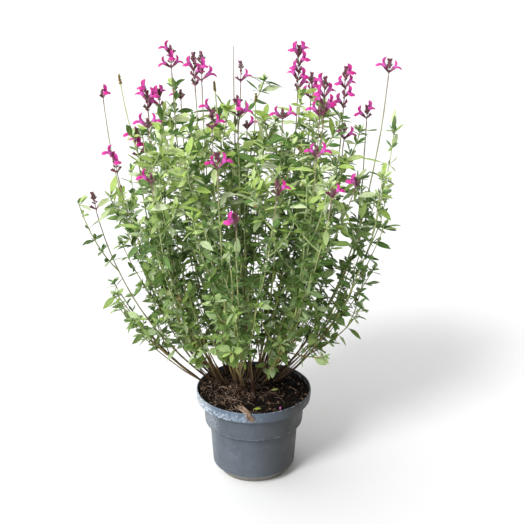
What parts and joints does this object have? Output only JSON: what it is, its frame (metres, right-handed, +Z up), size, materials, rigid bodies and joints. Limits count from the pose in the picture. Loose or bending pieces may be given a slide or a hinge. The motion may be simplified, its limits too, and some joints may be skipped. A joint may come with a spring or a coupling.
{
  "type": "potted perennial salvia",
  "caption": "Bushy perennial salvia with magenta two-lipped flowers and dark calyces on slender leafy stems, growing in a grey plastic nursery pot of compost.",
  "frame": {"origin": "centre of the pot's flat underside, at the level that the pot stands on", "axes": "+Z up through the plant, +X to the right and +Y to the back as seen from the front of the plant"},
  "size_m": [0.4951, 0.3794, 0.712],
  "materials": {
    "pot": "satin moulded plastic, scuffed at the rim",
    "compost": "moist fibrous compost",
    "foliage": "matte leaves on green to woody stems",
    "flowers": "velvety corollas in dark maroon calyces",
    "fallen_leaves": "matte",
    "root_fibre": "dry fibre"
  },
  "bodies": {
    "root": {"pot": "pot", "compost": "compost", "shoot_01": "foliage", "shoot_02": "foliage", "shoot_03": "foliage", "shoot_04": "foliage", "shoot_05": "foliage", "shoot_06": "foliage", "shoot_07": "foliage", "shoot_08": "foliage", "shoot_09": "foliage", "shoot_10": "foliage", "shoot_11": "foliage", "shoot_12": "foliage", "shoot_13": "foliage", "shoot_14": "foliage", "shoot_15": "foliage", "shoot_16": "foliage", "shoot_17": "foliage", "shoot_18": "foliage", "shoot_19": "foliage", "shoot_20": "foliage", "shoot_21": "foliage", "shoot_22": "foliage", "shoot_23": "foliage", "shoot_24": "foliage", "raceme_01": "flowers", "raceme_02": "flowers", "raceme_03": "flowers", "raceme_04": "flowers", "raceme_05": "flowers", "raceme_06": "flowers", "raceme_07": "flowers", "raceme_08": "flowers", "raceme_09": "flowers", "raceme_10": "flowers", "raceme_11": "flowers", "raceme_12": "flowers", "raceme_13": "flowers", "raceme_14": "flowers", "raceme_15": "flowers", "raceme_16": "flowers", "raceme_17": "flowers", "raceme_18": "flowers", "raceme_19": "flowers", "raceme_20": "flowers", "raceme_21": "flowers", "raceme_22": "flowers", "raceme_23": "flowers", "raceme_24": "flowers", "raceme_25": "flowers", "raceme_26": "flowers", "raceme_27": "flowers", "raceme_28": "flowers", "raceme_29": "flowers", "raceme_30": "flowers", "raceme_31": "flowers", "fallen_leaf_01": "fallen_leaves", "fallen_leaf_02": "fallen_leaves", "root_tuft": "root_fibre"}
  },
  "joints": []
}
